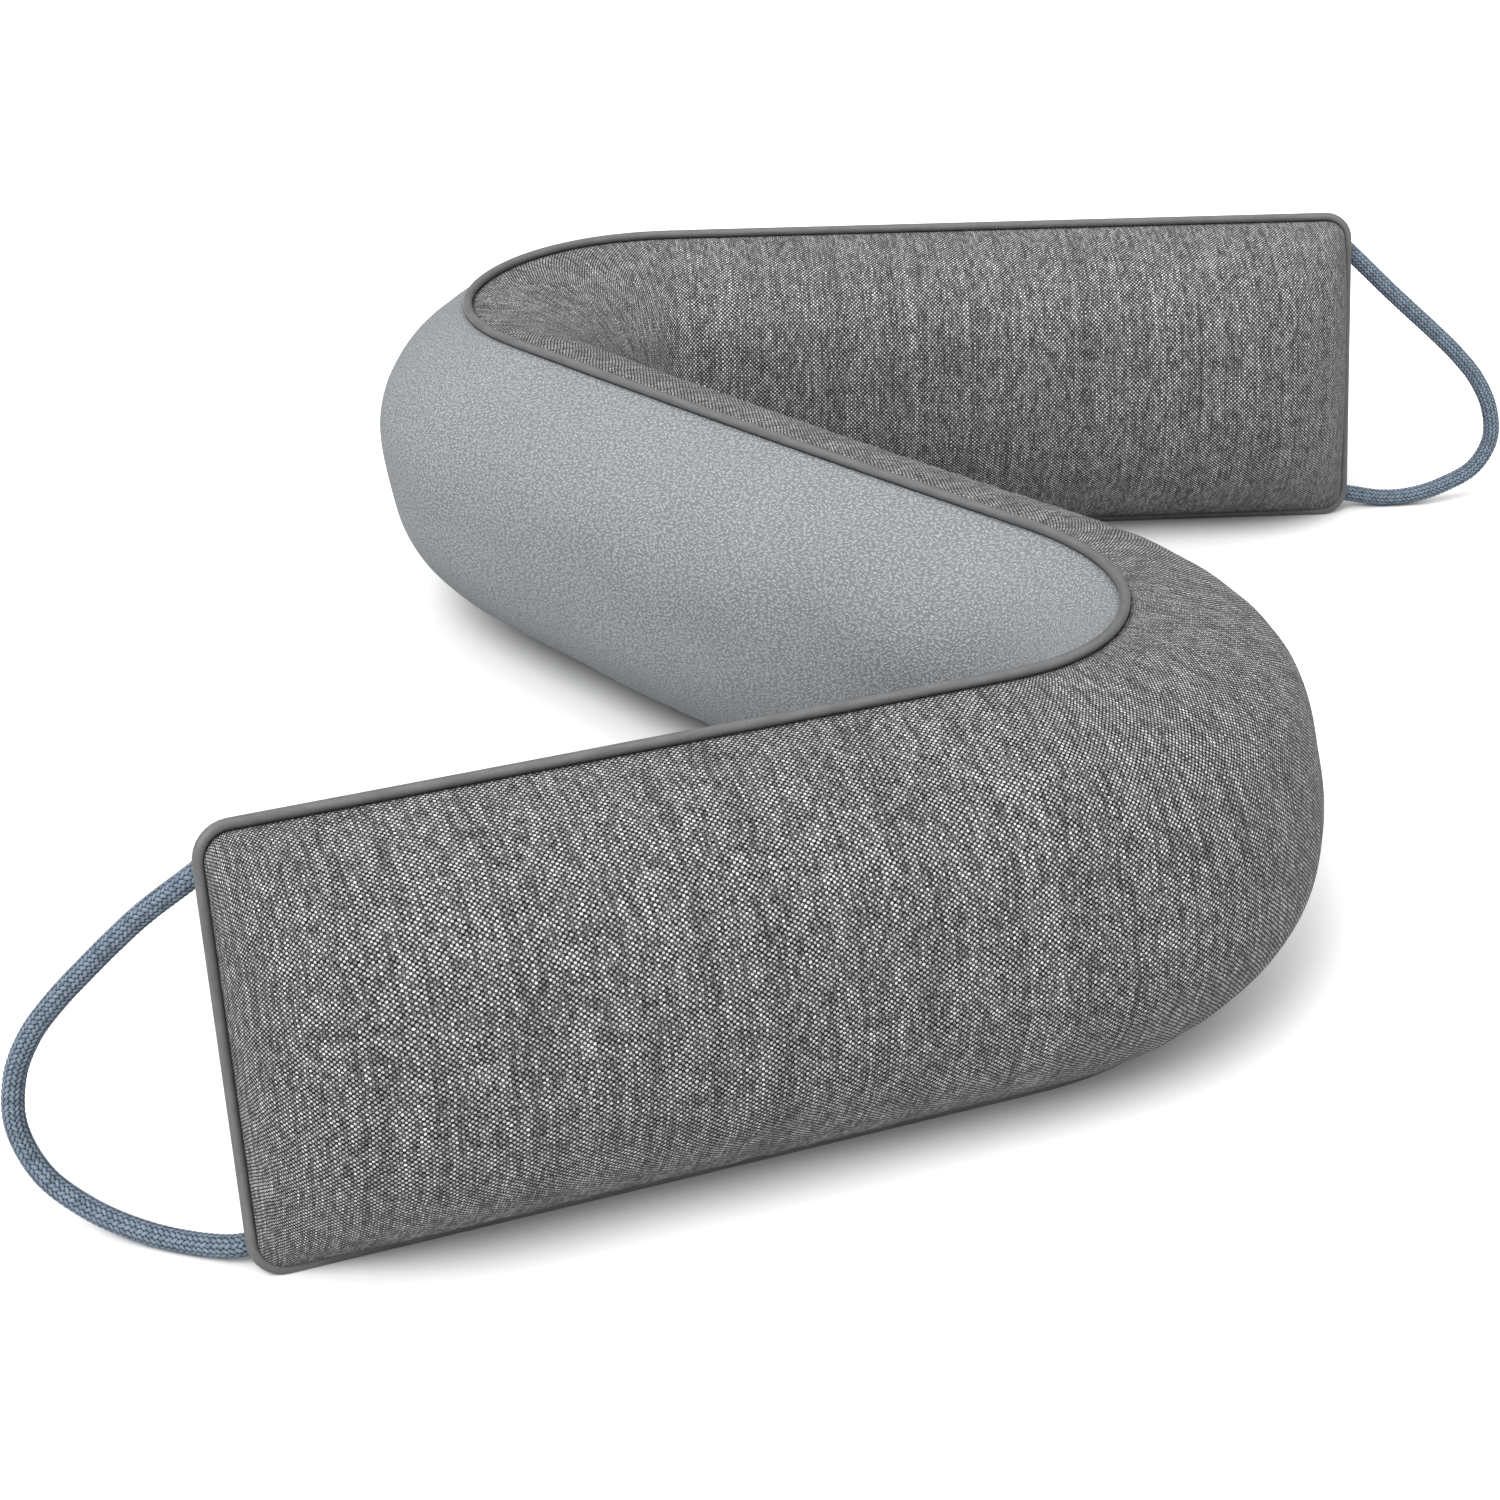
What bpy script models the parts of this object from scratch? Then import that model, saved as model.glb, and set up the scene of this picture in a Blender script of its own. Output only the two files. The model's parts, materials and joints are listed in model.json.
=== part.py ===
# Draught excluder: a long stuffed cushion that stands on its lower seam in an S.
# Two filled halves, the front and the back panel, meet at the seam surface.
# Piping runs all round that seam and a rope loop is sewn in at each end.
# Metres, +Z up, +X to the right and +Y away, origin under the middle of the cushion.
import math

import bpy
import bmesh
import numpy as np
from mathutils import Vector

MM = 0.001
NAME = "draught_excluder"

# Driving dimensions
HEIGHT = 110.7 * MM
PIPING_RADIUS = 1.45 * MM
CORNER_RADIUS = 8.0 * MM
ROPE_RADIUS = 2.9 * MM
CLEARANCE = 0.3 * MM
FLAT_SINK = 0.35 * MM

# Where the seam starts, at the left end, and the way that it first heads
START = Vector((-171.63, -214.63)) * MM
START_HEADING = math.radians(22.17)

# The run of the seam on the floor: name, length in mm, turn to the left in degrees
STRETCHES = (
    ("front", 210.4, 0.4),
    ("near bend", 80.2, 89.7),
    ("out of near bend", 29.6, 25.7),
    ("middle", 213.5, -2.9),
    ("into far bend", 55.8, -60.1),
    ("far bend", 85.4, -70.5),
    ("back", 239.4, -0.1),
)
SEAM_LENGTH = sum(stretch[1] for stretch in STRETCHES) * MM

# How far the top seam stands behind the bottom seam: station in mm, lean in mm
LEANS = (
    (0.0, 25.7),
    (168.0, 25.7),
    (258.0, 25.8),
    (427.0, 4.1),
    (589.0, 15.2),
    (723.0, 10.0),
)
LEAN_EASE = 40 * MM
BEND_EASE = 8 * MM

# The right end's lower corner reaches further out than its upper one
END_SLANT = 5.0 * MM
SLANT_FROM = 640 * MM

# Each half's crown: deepest swell, and how full, how blunt and how high it is
FRONT_CROWN = {"side": -1, "depth": 44.3 * MM, "fullness": 3.07, "shoulder": 0.60, "rise": 1.45}
BACK_CROWN = {"side": 1, "depth": 36.5 * MM, "fullness": 2.76, "shoulder": 1.0, "rise": 0.99}
END_TAPER = 47 * MM
TAPER_FULLNESS = 2.2
TAPER_SHOULDER = 0.55

# The groove in which the piping lies, as angles round the piping from the seam surface
GROOVE_RADIUS = (PIPING_RADIUS + CLEARANCE) / math.cos(math.radians(12.5))
GROOVE_ANGLES = (50, 25, 3.5)

# Rope loops in their end's frame, in mm: out from the end, to the back side, height
LEFT_LOOP = (
    (-9.0, 5.6, 100.6),
    (-4.0, 5.6, 98.9),
    (0.3, 5.9, 96.1),
    (11.0, 14.7, 85.4),
    (18.5, 20.8, 76.9),
    (25.7, 26.7, 68.1),
    (32.8, 32.5, 59.0),
    (39.2, 37.8, 49.2),
    (43.8, 41.7, 37.9),
    (45.2, 42.7, 25.2),
    (41.0, 39.2, 14.0),
    (32.5, 32.3, 7.4),
    (22.8, 24.3, 4.2),
    (13.0, 16.3, 3.4),
    (3.2, 8.2, 4.7),
    (-3.5, 5.6, 6.4),
    (-9.0, 5.6, 7.4),
)
RIGHT_LOOP = (
    (-9.0, 5.6, 101.4),
    (-4.0, 5.6, 100.0),
    (1.3, 5.5, 95.8),
    (16.2, 5.5, 81.2),
    (24.9, 5.5, 73.0),
    (33.7, 5.5, 64.8),
    (42.2, 5.5, 56.3),
    (49.6, 5.5, 47.0),
    (54.6, 5.5, 36.0),
    (55.3, 5.5, 24.2),
    (49.5, 5.5, 13.9),
    (39.2, 5.5, 7.9),
    (27.8, 5.5, 4.2),
    (16.0, 5.5, 3.4),
    (4.3, 5.5, 5.3),
    (-3.0, 5.6, 6.4),
    (-9.0, 5.6, 7.3),
)
LOOP_POINTS = 46

# Fineness
ROUTE_STEP = 0.5 * MM
CORNER_ANGLES = (0, 30, 60, 90)
STRAIGHT_STEP = 24 * MM
BEND_STEP = math.radians(7.5)
CROWN_ROWS = 20


def walk_route():
    """Seam on the floor every half millimetre: stations, places and headings."""
    ends = np.cumsum([0.0] + [stretch[1] * MM for stretch in STRETCHES])
    turned = np.cumsum([0.0] + [math.radians(stretch[2]) for stretch in STRETCHES])
    stations = np.linspace(0, SEAM_LENGTH, round(SEAM_LENGTH / ROUTE_STEP) + 1)
    window = np.linspace(-BEND_EASE, BEND_EASE, 9)
    headings = START_HEADING + np.mean([np.interp(stations + w, ends, turned) for w in window], axis=0)
    half_way = (headings[1:] + headings[:-1]) / 2
    steps = np.diff(stations)
    x = START.x + np.concatenate([[0], np.cumsum(steps * np.cos(half_way))])
    y = START.y + np.concatenate([[0], np.cumsum(steps * np.sin(half_way))])
    return stations, x, y, headings


ROUTE = walk_route()


def lean_at(station):
    """Lean of the seam surface, eased where its slope changes."""
    table = np.array(LEANS) * MM
    window = np.linspace(-LEAN_EASE, LEAN_EASE, 17)
    return float(np.mean(np.interp(station + window, table[:, 0], table[:, 1])))


def place(station, height, side):
    """World point at a station along the seam, a height and an offset to the back side."""
    stations, xs, ys, headings = ROUTE
    on_seam = min(max(station, 0.0), SEAM_LENGTH)
    heading = float(np.interp(on_seam, stations, headings))
    along = Vector((math.cos(heading), math.sin(heading)))
    back = Vector((-along.y, along.x))
    origin = Vector((float(np.interp(on_seam, stations, xs)), float(np.interp(on_seam, stations, ys))))
    below_top = 1 - (height - PIPING_RADIUS) / (HEIGHT - 2 * PIPING_RADIUS)
    slant = END_SLANT * max(0.0, (on_seam - SLANT_FROM) / (SEAM_LENGTH - SLANT_FROM)) ** 2
    flat = origin + along * (station - on_seam + slant * below_top)
    flat += back * (side - lean_at(on_seam) * below_top)
    return Vector((flat.x, flat.y, height))


def seam_stations():
    """Stations between the corners, closer together in the bends and near the ends."""
    stations, _, _, headings = ROUTE
    inner = (stations >= CORNER_RADIUS) & (stations <= SEAM_LENGTH - CORNER_RADIUS)
    stations, headings = stations[inner], headings[inner]
    curvature = np.abs(np.gradient(headings, stations))
    from_end = np.minimum(stations, SEAM_LENGTH - stations)
    density = np.maximum(1 / STRAIGHT_STEP, curvature / BEND_STEP)
    density = np.maximum(density, 1 / (0.3 * from_end + 2 * MM))
    count = np.concatenate([[0], np.cumsum((density[1:] + density[:-1]) / 2 * ROUTE_STEP)])
    wanted = np.linspace(0, count[-1], math.ceil(count[-1]) + 1)
    return list(np.interp(wanted, count, stations))


SEAM_STATIONS = seam_stations()


def seam_ring(inset):
    """Columns of the rounded outline, inset from the piping's axis: station, low, high."""
    radius = CORNER_RADIUS - inset
    corner_height = PIPING_RADIUS + CORNER_RADIUS
    columns = []
    for degrees in CORNER_ANGLES:
        angle = math.radians(degrees)
        low = corner_height - radius * math.sin(angle)
        columns.append((CORNER_RADIUS - radius * math.cos(angle), low, HEIGHT - low))
    for station in SEAM_STATIONS[1:-1]:
        columns.append((station, PIPING_RADIUS + inset, HEIGHT - PIPING_RADIUS - inset))
    for station, low, high in columns[len(CORNER_ANGLES) - 1::-1]:
        columns.append((SEAM_LENGTH - station, low, high))
    return columns


def end_taper(station):
    """Share of the full swell at a station: none at the end seams, all past the taper."""
    distance = min(station, SEAM_LENGTH - station) - GROOVE_RADIUS * math.cos(math.radians(GROOVE_ANGLES[0]))
    share = min(1.0, max(0.0, distance / END_TAPER))
    return (1 - (1 - share) ** TAPER_FULLNESS) ** TAPER_SHOULDER


def crown_offset(crown, station, share):
    """Distance of a half's cloth from the seam surface, share being 0 low and 1 high."""
    edge = GROOVE_RADIUS * math.sin(math.radians(GROOVE_ANGLES[0]))
    flat = abs(2 * share ** crown["rise"] - 1) ** crown["fullness"]
    swell = (1 - flat) ** crown["shoulder"]
    return edge + (crown["depth"] - edge) * swell * end_taper(station)


def make_material(name, colour, roughness):
    """Plain cloth finish."""
    material = bpy.data.materials.new(name)
    material.use_nodes = True
    shader = material.node_tree.nodes["Principled BSDF"]
    shader.inputs["Base Color"].default_value = (*colour, 1.0)
    shader.inputs["Roughness"].default_value = roughness
    shader.inputs["Metallic"].default_value = 0.0
    return material


def new_collection(name):
    """Collection of the scene for parts or for cutters."""
    collection = bpy.data.collections.new(name)
    bpy.context.scene.collection.children.link(collection)
    return collection


def add_object(name, data, collection, material=None):
    """Link an object that holds a mesh or a curve."""
    obj = bpy.data.objects.new(name, data)
    collection.objects.link(obj)
    if material:
        data.materials.append(material)
    return obj


def mesh_from(bm, name):
    """Finish a bmesh: faces outwards, smooth but for sharp edges."""
    bmesh.ops.recalc_face_normals(bm, faces=bm.faces)
    mesh = bpy.data.meshes.new(name)
    bm.to_mesh(mesh)
    bm.free()
    mesh.shade_smooth()
    mesh.set_sharp_from_angle(angle=math.radians(50))
    return mesh


def panel_mesh(name, crown):
    """One filled half: a crowned cloth side lofted over a flat side with a piping groove."""
    side = crown["side"]
    rings = []
    for degrees in GROOVE_ANGLES:
        angle = math.radians(degrees)
        rings.append((seam_ring(GROOVE_RADIUS * math.cos(angle)), GROOVE_RADIUS * math.sin(angle)))
    outline = rings[0][0]
    last = len(outline) - 1
    rows = [(1 - math.cos(math.pi * row / CROWN_ROWS)) / 2 for row in range(CROWN_ROWS + 1)]
    bm = bmesh.new()

    cloth = []
    for station, low, high in outline:
        column = []
        for share in rows:
            offset = crown_offset(crown, station, share)
            column.append(bm.verts.new(place(station, low + share * (high - low), side * offset)))
        cloth.append(column)
    for left, right in zip(cloth, cloth[1:]):
        for row in range(CROWN_ROWS):
            bm.faces.new((left[row], right[row], right[row + 1], left[row + 1]))

    # The rim of the cloth, and inside it the two lines of the groove on the flat side
    loops = [(cloth[0][::-1], cloth[last], [c[0] for c in cloth], [c[-1] for c in cloth])]
    for columns, offset in rings[1:]:
        lower = [bm.verts.new(place(station, low, side * offset)) for station, low, _ in columns]
        upper = [bm.verts.new(place(station, high, side * offset)) for station, _, high in columns]
        ends = []
        for index in (0, last):
            station, low, high = columns[index]
            between = [low + share * (high - low) for share in rows[1:-1]]
            middle = [bm.verts.new(place(station, height, side * offset)) for height in between]
            ends.append([lower[index]] + middle + [upper[index]])
        loops.append((ends[0][::-1], ends[1], lower, upper))
    outlines = [start[:-1] + lower[:-1] + end[:-1] + upper[::-1][:-1] for start, end, lower, upper in loops]
    for outer, inner in zip(outlines, outlines[1:]):
        for index, vert in enumerate(outer):
            after = (index + 1) % len(outer)
            bm.faces.new((vert, outer[after], inner[after], inner[index]))

    # The flat side, with the same diagonals in both halves
    start, end, lower, upper = loops[-1]
    bm.faces.new(start + [lower[1], upper[1]])
    bm.faces.new(end + [upper[last - 1], lower[last - 1]])
    for index in range(1, last - 1):
        bm.faces.new((lower[index], lower[index + 1], upper[index + 1]))
        bm.faces.new((lower[index], upper[index + 1], upper[index]))
    return mesh_from(bm, name)


def tube_mesh(name, points, radius, resolution, closed=False):
    """Round tube along given points, as a mesh with its caps welded."""
    curve = bpy.data.curves.new(name, "CURVE")
    curve.dimensions = "3D"
    curve.bevel_depth = radius
    curve.bevel_resolution = resolution
    curve.use_fill_caps = not closed
    spline = curve.splines.new("POLY")
    spline.points.add(len(points) - 1)
    for target, point in zip(spline.points, points):
        target.co = (*point, 1.0)
    spline.use_cyclic_u = closed
    guide = bpy.data.objects.new(name, curve)
    bpy.context.scene.collection.objects.link(guide)
    bpy.context.view_layer.update()
    evaluated = guide.evaluated_get(bpy.context.evaluated_depsgraph_get())
    bm = bmesh.new()
    bm.from_mesh(bpy.data.meshes.new_from_object(evaluated))
    bpy.data.objects.remove(guide)
    bmesh.ops.remove_doubles(bm, verts=bm.verts, dist=0.00001)
    return bm


def piping_points():
    """Axis of the piping round the whole seam."""
    columns = seam_ring(0.0)
    low = [place(station, height, 0.0) for station, height, _ in columns]
    high = [place(station, height, 0.0) for station, _, height in columns]
    return low + high[::-1]


def loop_points(route, left_end):
    """Smooth evenly spaced points of a rope loop through its route."""
    knots = []
    for out, side, height in route:
        station = -out * MM if left_end else SEAM_LENGTH + out * MM
        knots.append(place(station, height * MM, side * MM))
    knots = [2 * knots[0] - knots[1]] + knots + [2 * knots[-1] - knots[-2]]
    fine = []
    for before, here, ahead, after in zip(knots, knots[1:], knots[2:], knots[3:]):
        for step in range(24):
            t = step / 24
            bend = 2 * before - 5 * here + 4 * ahead - after
            twist = 3 * here - before - 3 * ahead + after
            fine.append(here + ((ahead - before) * t + bend * t ** 2 + twist * t ** 3) / 2)
    fine.append(knots[-2])
    path = np.array([tuple(point) for point in fine])
    run = np.concatenate([[0], np.cumsum(np.linalg.norm(np.diff(path, axis=0), axis=1))])
    wanted = np.linspace(0, run[-1], LOOP_POINTS)
    return [Vector(np.interp(value, run, path[:, axis]) for axis in range(3)) for value in wanted]


def cut_rope_seats(panel, points, cutters, name):
    """Channels in the back half that hold the two sewn-in ends of a rope loop."""
    for index, stretch in enumerate((points[:6], points[:-7:-1])):
        inwards = (stretch[0] - stretch[1]).normalized()
        path = [stretch[0] + inwards * CLEARANCE] + stretch[1:]
        bm = tube_mesh(name, path, (ROPE_RADIUS + CLEARANCE) / math.cos(math.pi / 12), 4)
        cutter = add_object(f"{name}_cutter_{index + 1}", mesh_from(bm, name), cutters)
        cutter.hide_render = True
        cutter.display_type = "WIRE"
        cut = panel.modifiers.new(f"{name}_seat_{index + 1}", "BOOLEAN")
        cut.operation = "DIFFERENCE"
        cut.solver = "EXACT"
        cut.object = cutter


def build_piping(parts):
    """Piping ring, pressed flat where its lower run lies on the floor."""
    bm = tube_mesh("piping", piping_points(), PIPING_RADIUS, 4, closed=True)
    for vert in bm.verts:
        vert.co.z = max(vert.co.z, FLAT_SINK)
    cloth = make_material("piping_satin", (0.16, 0.16, 0.163), 0.6)
    return add_object("piping", mesh_from(bm, "piping"), parts, cloth)


def build_rope_loop(name, points, parts, material):
    """Rope loop as a plain round tube."""
    bm = tube_mesh(name, points, ROPE_RADIUS, 4)
    return add_object(name, mesh_from(bm, name), parts, material)


def main():
    for obj in list(bpy.data.objects):
        bpy.data.objects.remove(obj)
    parts = new_collection(NAME)
    cutters = new_collection("cutters")
    woven = make_material("heather_weave", (0.2, 0.2, 0.2), 0.9)
    plain = make_material("plain_suede", (0.35, 0.37, 0.385), 0.85)
    braid = make_material("rope_braid", (0.14, 0.18, 0.23), 0.8)
    front = add_object("front_panel", panel_mesh("front_panel", FRONT_CROWN), parts, woven)
    back = add_object("back_panel", panel_mesh("back_panel", BACK_CROWN), parts, plain)
    piping = build_piping(parts)
    left = loop_points(LEFT_LOOP, True)
    right = loop_points(RIGHT_LOOP, False)
    loops = [
        build_rope_loop("rope_loop_left", left, parts, braid),
        build_rope_loop("rope_loop_right", right, parts, braid),
    ]
    cut_rope_seats(back, left, cutters, "rope_loop_left")
    cut_rope_seats(back, right, cutters, "rope_loop_right")

    # The pressed underside of the piping lies on the floor
    for obj in [front, back, piping, *loops, *cutters.objects]:
        obj.location.z = -FLAT_SINK


main()
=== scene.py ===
# Draught excluder dressed for its picture: woven front half, suede back half,
# satin piping round the seam and a braided rope loop at each end.
# Metres, +Z up, +X to the right and +Y away, origin under the middle of the cushion.
import json
import math

import bpy
import numpy as np
from mathutils import Matrix, Vector

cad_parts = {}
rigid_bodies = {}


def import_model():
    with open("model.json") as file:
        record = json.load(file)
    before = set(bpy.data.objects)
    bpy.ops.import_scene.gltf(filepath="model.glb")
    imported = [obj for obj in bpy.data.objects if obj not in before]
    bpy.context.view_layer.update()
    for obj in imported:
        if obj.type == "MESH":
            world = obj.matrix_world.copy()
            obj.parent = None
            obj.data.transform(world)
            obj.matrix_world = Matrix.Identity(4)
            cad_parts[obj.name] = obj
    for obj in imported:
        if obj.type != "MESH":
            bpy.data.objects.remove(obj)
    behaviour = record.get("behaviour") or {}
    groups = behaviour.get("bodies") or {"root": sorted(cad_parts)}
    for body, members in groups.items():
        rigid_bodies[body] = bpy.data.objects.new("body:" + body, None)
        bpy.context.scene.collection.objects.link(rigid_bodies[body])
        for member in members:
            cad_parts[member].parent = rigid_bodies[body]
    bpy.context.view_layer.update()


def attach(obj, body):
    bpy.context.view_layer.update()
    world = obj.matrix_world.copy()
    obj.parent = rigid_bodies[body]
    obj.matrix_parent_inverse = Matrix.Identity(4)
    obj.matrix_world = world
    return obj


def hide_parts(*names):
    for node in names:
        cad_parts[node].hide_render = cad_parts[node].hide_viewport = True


MM = 0.001

# Driving dimensions, the same as in the part's source
HEIGHT = 110.7 * MM
PIPING_RADIUS = 1.45 * MM
CORNER_RADIUS = 8.0 * MM
ROPE_RADIUS = 2.9 * MM
CLEARANCE = 0.3 * MM
FLAT_SINK = 0.35 * MM

# Where the seam starts, at the left end, and the way that it first heads
START = Vector((-171.63, -214.63)) * MM
START_HEADING = math.radians(22.17)

# The run of the seam on the floor: name, length in mm, turn to the left in degrees
STRETCHES = (
    ("front", 210.4, 0.4),
    ("near bend", 80.2, 89.7),
    ("out of near bend", 29.6, 25.7),
    ("middle", 213.5, -2.9),
    ("into far bend", 55.8, -60.1),
    ("far bend", 85.4, -70.5),
    ("back", 239.4, -0.1),
)
SEAM_LENGTH = sum(stretch[1] for stretch in STRETCHES) * MM

# How far the top seam stands behind the bottom seam: station in mm, lean in mm
LEANS = (
    (0.0, 25.7),
    (168.0, 25.7),
    (258.0, 25.8),
    (427.0, 4.1),
    (589.0, 15.2),
    (723.0, 10.0),
)

# How far the leans and the bends are eased to either side, and in how many samples
LEAN_EASE = 40 * MM
LEAN_SAMPLES = 17
BEND_EASE = 8 * MM
BEND_SAMPLES = 9

# The right end's lower corner reaches further out than its upper one
END_SLANT = 5.0 * MM
SLANT_FROM = 640 * MM

# Each half's crown: deepest swell, and how full, how blunt and how high it is
FRONT_CROWN = {"side": -1, "depth": 44.3 * MM, "fullness": 3.07, "shoulder": 0.60, "rise": 1.45}
BACK_CROWN = {"side": 1, "depth": 36.5 * MM, "fullness": 2.76, "shoulder": 1.0, "rise": 0.99}
END_TAPER = 47 * MM
TAPER_FULLNESS = 2.2
TAPER_SHOULDER = 0.55

# The groove in which the piping lies, as angles round the piping from the seam surface
GROOVE_RADIUS = (PIPING_RADIUS + CLEARANCE) / math.cos(math.radians(12.5))
GROOVE_ANGLES = (50, 25, 3.5)

# Rope loops in their end's frame, in mm: out from the end, to the back side, height
LEFT_LOOP = (
    (-9.0, 5.6, 100.6),
    (-4.0, 5.6, 98.9),
    (0.3, 5.9, 96.1),
    (11.0, 14.7, 85.4),
    (18.5, 20.8, 76.9),
    (25.7, 26.7, 68.1),
    (32.8, 32.5, 59.0),
    (39.2, 37.8, 49.2),
    (43.8, 41.7, 37.9),
    (45.2, 42.7, 25.2),
    (41.0, 39.2, 14.0),
    (32.5, 32.3, 7.4),
    (22.8, 24.3, 4.2),
    (13.0, 16.3, 3.4),
    (3.2, 8.2, 4.7),
    (-3.5, 5.6, 6.4),
    (-9.0, 5.6, 7.4),
)
RIGHT_LOOP = (
    (-9.0, 5.6, 101.4),
    (-4.0, 5.6, 100.0),
    (1.3, 5.5, 95.8),
    (16.2, 5.5, 81.2),
    (24.9, 5.5, 73.0),
    (33.7, 5.5, 64.8),
    (42.2, 5.5, 56.3),
    (49.6, 5.5, 47.0),
    (54.6, 5.5, 36.0),
    (55.3, 5.5, 24.2),
    (49.5, 5.5, 13.9),
    (39.2, 5.5, 7.9),
    (27.8, 5.5, 4.2),
    (16.0, 5.5, 3.4),
    (4.3, 5.5, 5.3),
    (-3.0, 5.6, 6.4),
    (-9.0, 5.6, 7.3),
)

# Points of a loop's rough run, from which its length is taken, and steps from one knot to the next
LOOP_POINTS = 46
KNOT_STEPS = 24

# How the back cloth swells over a sewn-in rope end: where it starts, rises and fades, its width
HUMP_FROM = 1.2 * MM
HUMP_RISE = 2.5 * MM
HUMP_LENGTH = 24 * MM
HUMP_COVER = 0.6 * MM
HUMP_WIDTH = 6.0 * MM

# Fineness of the meshes
ROUTE_STEP = 0.5 * MM
CLOTH_STEP = 2.2 * MM
CLOTH_ROWS = 72
CORNER_COLUMNS = 9
PIPING_STEP = 1.5 * MM
PIPING_SIDES = 20
ROPE_STEP = 0.26 * MM
ROPE_SIDES = 84
SHARP_ANGLE = math.radians(60)

# Yarns of the woven cloth, and how far the cloth is drawn in on the back stretch
WARP_SPACING = 0.80 * MM
WEFT_SPACING = 0.69 * MM
DRAWN_IN = 1.2
DRAWN_FROM = 320 * MM
DRAWN_BY = 640 * MM

# Sways of the yarns off their straight run, in yarns: how often, how far
YARN_SWAYS = ((0.06, 1.6), (0.30, 0.7))

# Rise and fall of a yarn over the other, how proud the warp stands, and the heights between which
# painted shade darkens the gaps and leaves the yarns' backs unshaded, all in half yarns, and the relief's
# depth
YARN_SWING = 0.75
WARP_PROUD = 0.26
YARN_GAP_SHADE_HEIGHT = 0.92
YARN_UNSHADED_HEIGHT = 1.50
YARN_RELIEF = 0.15 * MM

# How many slubs a yarn has for each crossing that it makes, and how far apart in the
# noise two neighbouring yarns are read
WARP_SLUBS = 0.15
WEFT_SLUBS = 0.22
YARN_APART = 7.3

# Painted shade in the crease along the piping: how wide, and how dark at its bottom
PAINTED_CREASE_WIDTH = 1.3 * MM
PAINTED_CREASE_SHADE = 0.7

# Unevenness of the filling, and puckers along the piping: size, spacing and reach
LUMP_SIZE = 0.35 * MM
LUMP_SPACINGS = (47 * MM, 71 * MM, 113 * MM)
PUCKER_SIZE = 0.22 * MM
PUCKER_SPACING = 10.5 * MM
PUCKER_REACH = 7 * MM

# Tones of the cloths, linear
WARP_DARK = 0.155
WARP_LIGHT = 0.335
WEFT_DARK = 0.015
WEFT_LIGHT = 0.07
YARN_TONES = (0.80, 1.20)
CROSSING_TONES = (0.80, 1.20)
PATCH_TONES = (0.94, 1.06)
SUEDE_COLOUR = (0.206, 0.218, 0.226, 1.0)
# Suede tones: partly the nap's own tone, partly painted glints on the strokes and painted shade between
# them
SUEDE_NAP_AND_GLINT_TONES = (0.64, 1.62)
PIPING_COLOUR = (0.100, 0.100, 0.102, 1.0)
# Painted shade for the gaps between the rope's stitches
BRAID_GAP_SHADE = (0.004, 0.007, 0.011, 1.0)
BRAID_BACKS = (0.130, 0.163, 0.202, 1.0)
BRAID_FLECKS = (0.40, 0.44, 0.48, 1.0)

# Strokes of the suede's nap: how many to the mm along and across, two ways that they turn,
# fibres to the mm and depth
STROKE_SHAPE = (0.62, 1.65, 1.0)
STROKE_TURNS = (0.75, -0.25)
FIBRE_FINENESS = 3.4
NAP_RELIEF = 0.40 * MM

# Stitches of the rope's braid
BRAID_COLUMNS = 12
BRAID_PITCH = 1.58 * MM
STITCH_LENGTH = 1.25 * MM
STITCH_WIDTH = 0.62 * MM
STITCH_SLANT = math.radians(38)
STITCH_DEPTH = 0.42 * MM

# Camera: place, pitch below the horizon, roll and field
CAMERA_PLACE = Vector((-44.43, -848.73, 463.30)) * MM
CAMERA_PITCH = math.radians(27.776)
CAMERA_ROLL = math.radians(-0.121)
PHOTO_SIZE = 1500
FOCAL_PIXELS = 3179.6
SENSOR_WIDTH = 36.0
NEAREST_SEEN = 0.01
FARTHEST_SEEN = 50

# Light: soft dome, brighter overhead and in front, and a broad key from the front left;
# the floor and how far it reaches, in metres
DOME_STRENGTH = 1.8
DOME_LOW = 0.25
DOME_RISE = 1.12
DOME_FRONT = 0.45
DOME_LEAST = 0.04
KEY_STRENGTH = 2.6
KEY_DIRECTION = Vector((-0.45, -0.76, 1.0))
KEY_SPREAD = math.radians(30)
FLOOR_COLOUR = (0.66, 0.66, 0.66, 1.0)
FLOOR_REACH = 60.0
FLOOR_DROP = 0.05 * MM
PICTURE_GAMMA = 0.85


def walk_route():
    """Seam on the floor every half millimetre: stations, places and headings."""
    ends = np.cumsum([0.0] + [stretch[1] * MM for stretch in STRETCHES])
    turned = np.cumsum([0.0] + [math.radians(stretch[2]) for stretch in STRETCHES])
    stations = np.linspace(0, SEAM_LENGTH, round(SEAM_LENGTH / ROUTE_STEP) + 1)
    window = np.linspace(-BEND_EASE, BEND_EASE, BEND_SAMPLES)
    headings = START_HEADING + np.mean([np.interp(stations + w, ends, turned) for w in window], axis=0)
    half_way = (headings[1:] + headings[:-1]) / 2
    steps = np.diff(stations)
    x = START.x + np.concatenate([[0], np.cumsum(steps * np.cos(half_way))])
    y = START.y + np.concatenate([[0], np.cumsum(steps * np.sin(half_way))])
    return stations, x, y, headings


ROUTE = walk_route()


def walk_leans():
    """Lean of the seam surface at the route's stations, eased where its slope changes."""
    table = np.array(LEANS) * MM
    window = np.linspace(-LEAN_EASE, LEAN_EASE, LEAN_SAMPLES)
    return np.mean([np.interp(ROUTE[0] + w, table[:, 0], table[:, 1]) for w in window], axis=0)


ROUTE_LEANS = walk_leans()


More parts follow.
